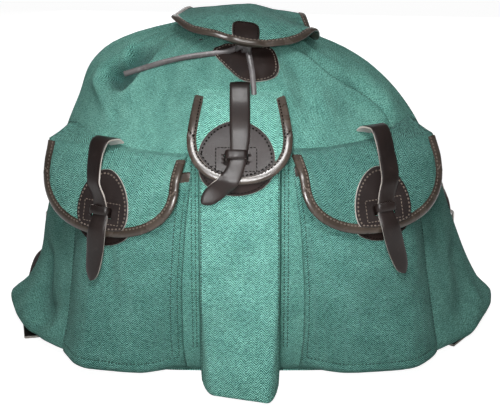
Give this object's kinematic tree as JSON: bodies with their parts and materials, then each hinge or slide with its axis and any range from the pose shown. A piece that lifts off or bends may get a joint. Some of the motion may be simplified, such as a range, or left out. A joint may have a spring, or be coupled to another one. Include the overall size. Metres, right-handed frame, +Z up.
{
  "type": "rucksack",
  "caption": "Canvas rucksack with a drawcord neck, bound lid, strap-closed front pockets, and leather shoulder straps with wire buckles.",
  "frame": {"origin": "middle of the base on the surface the rucksack stands on, under the front-to-back middle of the sack", "axes": "+Z up, the pockets face -Y, the back panel and shoulder straps face +Y, +X to the right seen from the front"},
  "size_m": [0.498, 0.2599, 0.3213],
  "materials": {
    "canvas": "herringbone cotton canvas, matt",
    "binding": "folded leather binding, waxed",
    "leather": "smooth dark brown bridle leather",
    "thong": "flat split-leather thong",
    "steel": "bent steel wire"
  },
  "bodies": {
    "sack": {"front_panel": "canvas", "back_panel": "canvas", "base_panel": "canvas", "left_pocket": "canvas", "left_mouth_binding": "binding", "left_pocket_patch": "leather", "left_loop": "leather", "centre_pocket": "canvas", "centre_mouth_binding": "binding", "centre_pocket_patch": "leather", "centre_loop": "leather", "right_pocket": "canvas", "right_mouth_binding": "binding", "right_pocket_patch": "leather", "right_loop": "leather", "front_patch": "leather", "drawcord_left_run": "thong", "drawcord_right_run": "thong", "drawcord_knot": "thong", "drawcord_long_end": "thong", "drawcord_short_end": "thong", "yoke": "leather", "left_shoulder_strap": "leather", "left_chape": "leather", "left_buckle_frame": "steel", "right_shoulder_strap": "leather", "right_chape": "leather", "right_buckle_frame": "steel"},
    "lid": {"lid": "canvas", "lid_binding": "binding", "lid_patch": "leather"},
    "left_flap": {"left_flap": "canvas", "left_flap_binding": "binding", "left_flap_patch": "leather"},
    "centre_flap": {"centre_flap": "canvas", "centre_flap_binding": "binding", "centre_flap_patch": "leather"},
    "right_flap": {"right_flap": "canvas", "right_flap_binding": "binding", "right_flap_patch": "leather"},
    "left_strap": {"left_strap": "leather"},
    "centre_strap": {"centre_strap": "leather"},
    "right_strap": {"right_strap": "leather"},
    "hang_loop": {"hang_loop": "leather"},
    "left_prong": {"left_buckle_prong": "steel"},
    "right_prong": {"right_buckle_prong": "steel"}
  },
  "joints": [
    {"name": "lid_open", "type": "hinge", "parent": "sack", "child": "lid", "pos_m": [-0.004, 0.07545, 0.2985], "axis": [-1, 0, 0], "range_deg": [0, 100]},
    {"name": "left_flap_lift", "type": "hinge", "parent": "sack", "child": "left_flap", "pos_m": [-0.11854, -0.03017, 0.206], "axis": [-0.9272, 0.3746, 0], "range_deg": [0, 55], "deforming": ["left_loop"]},
    {"name": "left_strap_lift", "type": "hinge", "parent": "sack", "child": "left_strap", "pos_m": [-0.12623, -0.01851, 0.213], "axis": [-0.9272, 0.3746, 0], "range_deg": [0, 55], "deforming": ["left_loop"]},
    {"name": "centre_flap_lift", "type": "hinge", "parent": "sack", "child": "centre_flap", "pos_m": [-0.009, -0.02017, 0.257], "axis": [-1, 0, 0], "range_deg": [0, 70], "deforming": ["centre_loop"]},
    {"name": "centre_strap_lift", "type": "hinge", "parent": "sack", "child": "centre_strap", "pos_m": [-0.009, -0.01498, 0.264], "axis": [-1, 0, 0], "range_deg": [0, 70], "deforming": ["centre_loop"]},
    {"name": "right_flap_lift", "type": "hinge", "parent": "sack", "child": "right_flap", "pos_m": [0.10205, -0.03048, 0.211], "axis": [-0.9272, -0.3746, 0], "range_deg": [0, 85], "deforming": ["right_loop"]},
    {"name": "right_strap_lift", "type": "hinge", "parent": "sack", "child": "right_strap", "pos_m": [0.10904, -0.01922, 0.218], "axis": [-0.9272, -0.3746, 0], "range_deg": [0, 85], "deforming": ["right_loop"]},
    {"name": "hang_loop_swing", "type": "hinge", "parent": "sack", "child": "hang_loop", "pos_m": [-0.004, 0.0768, 0.2865], "axis": [1, 0, 0], "range_deg": [0, 60]},
    {"name": "left_prong_lift", "type": "hinge", "parent": "sack", "child": "left_prong", "pos_m": [-0.194, 0.0791, 0.078], "axis": [-1, 0, 0], "range_deg": [0, 25]},
    {"name": "right_prong_lift", "type": "hinge", "parent": "sack", "child": "right_prong", "pos_m": [0.194, 0.0791, 0.078], "axis": [-1, 0, 0], "range_deg": [0, 25]}
  ],
  "couplings": [
    {"joint": "left_strap_lift", "follows": "left_flap_lift", "ratio": 1},
    {"joint": "centre_strap_lift", "follows": "centre_flap_lift", "ratio": 1},
    {"joint": "right_strap_lift", "follows": "right_flap_lift", "ratio": 1}
  ]
}
